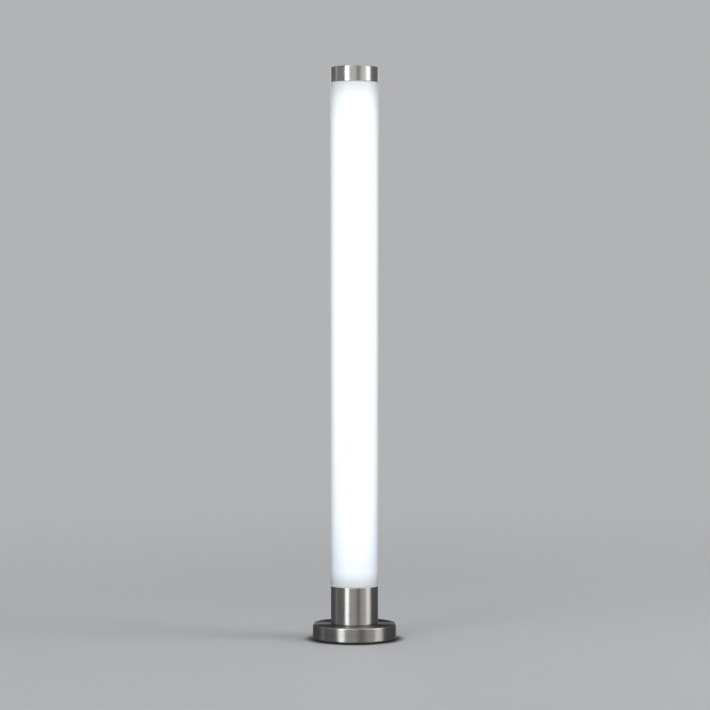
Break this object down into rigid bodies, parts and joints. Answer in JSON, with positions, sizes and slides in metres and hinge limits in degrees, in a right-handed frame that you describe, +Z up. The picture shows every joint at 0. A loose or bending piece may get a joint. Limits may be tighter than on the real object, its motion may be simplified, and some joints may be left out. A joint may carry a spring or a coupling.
{
  "type": "led light tube",
  "caption": "Free-standing column light: a glowing opal tube between a brushed steel cap and collar on a round weighted base.",
  "frame": {"origin": "middle of the base at floor level, on the lamp's vertical axis", "axes": "+Z up along the tube, -Y the front, +Y the rear with the foot switch and the power inlet, +X to the right seen from the front"},
  "size_m": [0.176, 0.176, 1.2],
  "materials": {
    "brushed_steel": "fine brushed, lines round the axis",
    "opal_diffuser": "opal white, satin, lit from inside",
    "ballast_iron": "as cast, grey-black",
    "zinc_steel": "bright zinc plated",
    "turned_aluminium": "turned, plain",
    "black_rubber": "matte",
    "grey_silicone": "matte",
    "circuit_board": "solder mask",
    "white_board": "white solder mask with a phosphor line",
    "copper_winding": "enamelled copper wire",
    "black_plastic": "moulded",
    "red_wire": "PVC insulation",
    "black_wire": "PVC insulation"
  },
  "bodies": {
    "lamp": {"diffuser_tube": "opal_diffuser", "collar": "brushed_steel", "base_shell": "brushed_steel", "ballast_weight": "ballast_iron", "bottom_plate": "zinc_steel", "button_spring": "zinc_steel", "dc_inlet": "black_plastic", "dc_inlet_nut": "zinc_steel", "dc_inlet_pin": "zinc_steel", "driver_board": "circuit_board", "driver_capacitor_1": "black_plastic", "driver_capacitor_2": "black_plastic", "driver_inductor": "copper_winding", "driver_pillar_1": "zinc_steel", "driver_pillar_2": "zinc_steel", "driver_pillar_3": "zinc_steel", "driver_pillar_4": "zinc_steel", "foot_ring": "black_rubber", "hub": "turned_aluminium", "hub_bolt_1": "zinc_steel", "hub_bolt_2": "zinc_steel", "hub_bolt_3": "zinc_steel", "inlet_lead_negative": "black_wire", "inlet_lead_positive": "red_wire", "junction_board": "circuit_board", "led_board_1": "white_board", "led_board_2": "white_board", "led_board_3": "white_board", "led_board_4": "white_board", "led_core": "turned_aluminium", "led_lead_negative": "black_wire", "led_lead_positive": "red_wire", "lower_seal": "grey_silicone", "neck_o_ring": "black_rubber", "plate_screw_1": "zinc_steel", "plate_screw_2": "zinc_steel", "plate_screw_3": "zinc_steel", "plate_screw_4": "zinc_steel", "rod_nut_bottom": "zinc_steel", "rod_nut_top": "zinc_steel", "rod_washer_bottom": "zinc_steel", "rod_washer_top": "zinc_steel", "switch_bezel": "brushed_steel", "switch_body": "black_plastic", "switch_lead_1": "red_wire", "switch_lead_2": "black_wire", "switch_nut": "zinc_steel", "terminal_inlet": "black_plastic", "terminal_leds": "black_plastic", "terminal_switch": "black_plastic", "tie_rod": "zinc_steel", "tube_seat": "turned_aluminium", "upper_seal": "grey_silicone", "upper_spigot": "turned_aluminium"},
    "cap": {"top_cap": "brushed_steel"},
    "button": {"foot_button": "brushed_steel"}
  },
  "joints": [
    {"name": "cap_lift", "type": "slide", "parent": "lamp", "child": "cap", "axis": [0, 0, 1], "range_m": [0, 0.045]},
    {"name": "foot_button_press", "type": "slide", "parent": "lamp", "child": "button", "axis": [0, 0, -1], "range_m": [0, 0.003], "stiffness_N_per_m": 500, "springref_m": -0.004, "deforming": ["button_spring"]}
  ]
}
